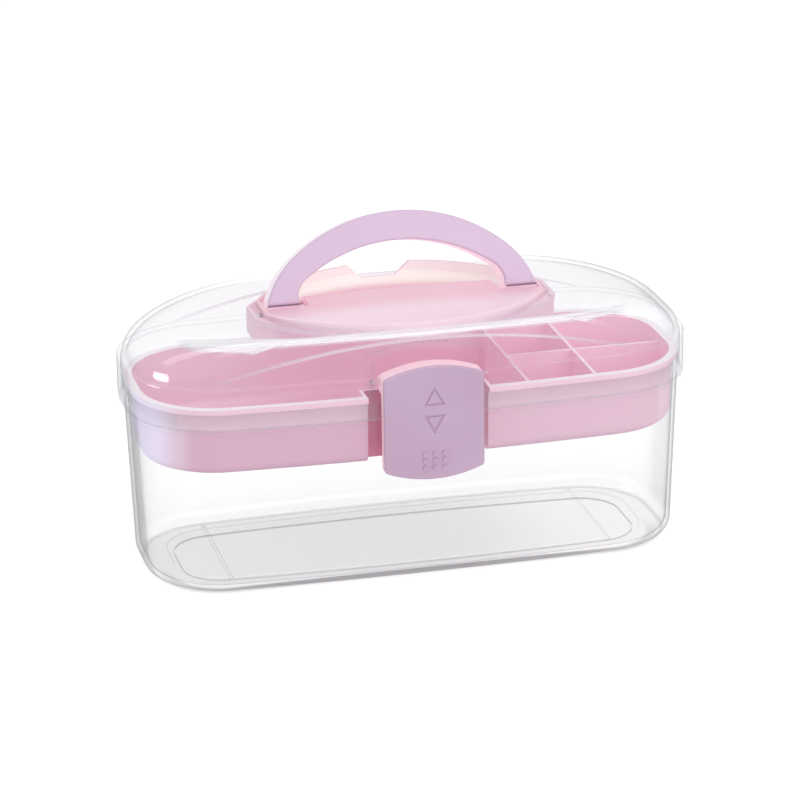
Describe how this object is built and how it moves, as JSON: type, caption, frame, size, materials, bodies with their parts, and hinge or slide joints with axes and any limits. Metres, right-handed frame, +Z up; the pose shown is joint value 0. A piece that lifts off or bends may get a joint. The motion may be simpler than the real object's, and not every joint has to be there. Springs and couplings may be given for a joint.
{
  "type": "makeup storage case",
  "caption": "Clear rounded carry case with domed lid, folding arched handle on a recessed deck, swing latch and lift-out divided tray.",
  "frame": {"origin": "centre of the underside, on the surface that the case stands on", "axes": "+X along the case, -Y to the front where the latch is, +Y to the hinges, +Z up"},
  "size_m": [0.2712, 0.1263, 0.1641],
  "materials": {
    "clear_base": "clear gloss",
    "clear_lid": "clear gloss",
    "pink_tray": "satin gloss",
    "pale_pink": "satin gloss",
    "lilac": "gloss",
    "pin_steel": "satin"
  },
  "bodies": {
    "base": {"base_shell": "clear_base", "hinge_pin_left": "pin_steel", "hinge_pin_right": "pin_steel"},
    "lid": {"lid_shell": "clear_lid", "handle_deck": "pale_pink", "handle_well": "pale_pink", "handle_pin_left": "pin_steel", "handle_pin_right": "pin_steel", "latch_pin": "clear_lid"},
    "handle": {"handle_grip": "pale_pink", "handle_cover": "lilac"},
    "latch": {"latch_body": "pale_pink", "latch_cover": "lilac"},
    "tray": {"tray": "pink_tray"}
  },
  "joints": [
    {"name": "lid_hinge", "type": "hinge", "parent": "base", "child": "lid", "pos_m": [0, 0.0596, 0.0831], "axis": [-1, 0, 0], "range_deg": [0, 100]},
    {"name": "latch_pivot", "type": "hinge", "parent": "lid", "child": "latch", "pos_m": [0, -0.053, 0.1005], "axis": [-1, 0, 0], "range_deg": [0, 80]},
    {"name": "handle_pivot", "type": "hinge", "parent": "lid", "child": "handle", "pos_m": [0, 0.0004, 0.119], "axis": [-1, 0, 0], "range_deg": [-18, 72]},
    {"name": "tray_lift", "type": "slide", "parent": "base", "child": "tray", "axis": [0, 0, 1], "range_m": [0, 0.009]}
  ]
}
